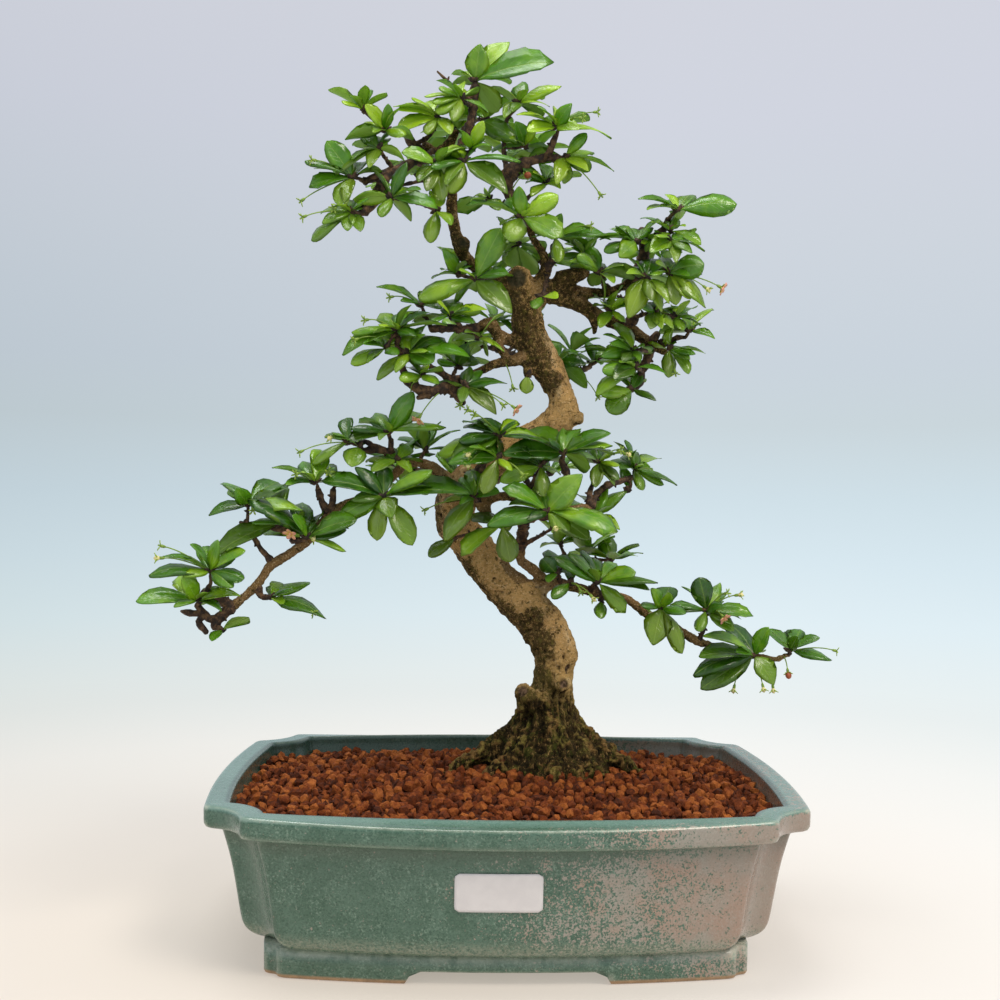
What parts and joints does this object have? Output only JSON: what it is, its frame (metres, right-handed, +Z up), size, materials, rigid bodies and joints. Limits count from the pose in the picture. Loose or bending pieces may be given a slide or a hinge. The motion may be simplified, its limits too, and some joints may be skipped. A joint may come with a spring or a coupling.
{
  "type": "fukien tea bonsai in a pot",
  "caption": "A fukien tea bonsai with a winding trunk and small glossy toothed leaves, in a low rectangular glazed pot with indented corners",
  "frame": {"origin": "middle of the whole object's plan, on the ground under the pot's feet", "axes": "+Z is up, -Y is the side seen in the picture, +X is the viewer's right"},
  "size_m": [0.3516, 0.2216, 0.4446],
  "materials": {
    "glaze": "mottled green to grey-mauve gloss glaze",
    "granules": "rough baked clay granules",
    "bark": "cracked tan bark with moss",
    "foliage": "glossy leaves on thin woody twigs",
    "petal": "soft satin petals, pale pink with a yellow throat",
    "black_plastic": "matte moulded net",
    "paper": "blank coated paper"
  },
  "bodies": {
    "root": {"pot": "glaze", "soil": "granules", "drain_screen_left": "black_plastic", "drain_screen_right": "black_plastic", "label_blank": "paper", "trunk": "bark", "spray_crown_left_high": "foliage", "spray_crown_top": "foliage", "spray_crown_right": "foliage", "spray_crown_centre": "foliage", "spray_crown_left": "foliage", "spray_crown_left_back": "foliage", "spray_fork_front": "foliage", "spray_middle_front": "foliage", "spray_middle_stub": "foliage", "spray_middle_under": "foliage", "spray_behind_neck": "foliage", "spray_right_upper": "foliage", "spray_right_inner": "foliage", "spray_right_mid": "foliage", "spray_right_tip": "foliage", "spray_right_down": "foliage", "spray_behind_right": "foliage", "spray_mid_upper": "foliage", "spray_mid_lower": "foliage", "spray_left_raised": "foliage", "spray_left_main": "foliage", "spray_left_fork": "foliage", "spray_left_knee": "foliage", "spray_left_arc": "foliage", "spray_left_end": "foliage", "spray_left_low_spur": "foliage", "spray_pad_left": "foliage", "spray_pad_low_left": "foliage", "spray_pad_front": "foliage", "spray_pad_top": "foliage", "spray_pad_mid": "foliage", "spray_pad_right": "foliage", "spray_low_first": "foliage", "spray_low_start": "foliage", "spray_low_dark": "foliage", "spray_low_tall": "foliage", "spray_low_toothed": "foliage", "spray_low_tip": "foliage", "spray_behind_mid": "foliage", "spray_behind_low": "foliage", "spray_behind_left": "foliage", "spray_behind_low_right": "foliage", "petals_right_edge": "petal", "petals_mid_left": "petal", "petals_mid_right": "petal", "petals_left_knee": "petal", "petals_low_branch": "petal"}
  },
  "joints": []
}
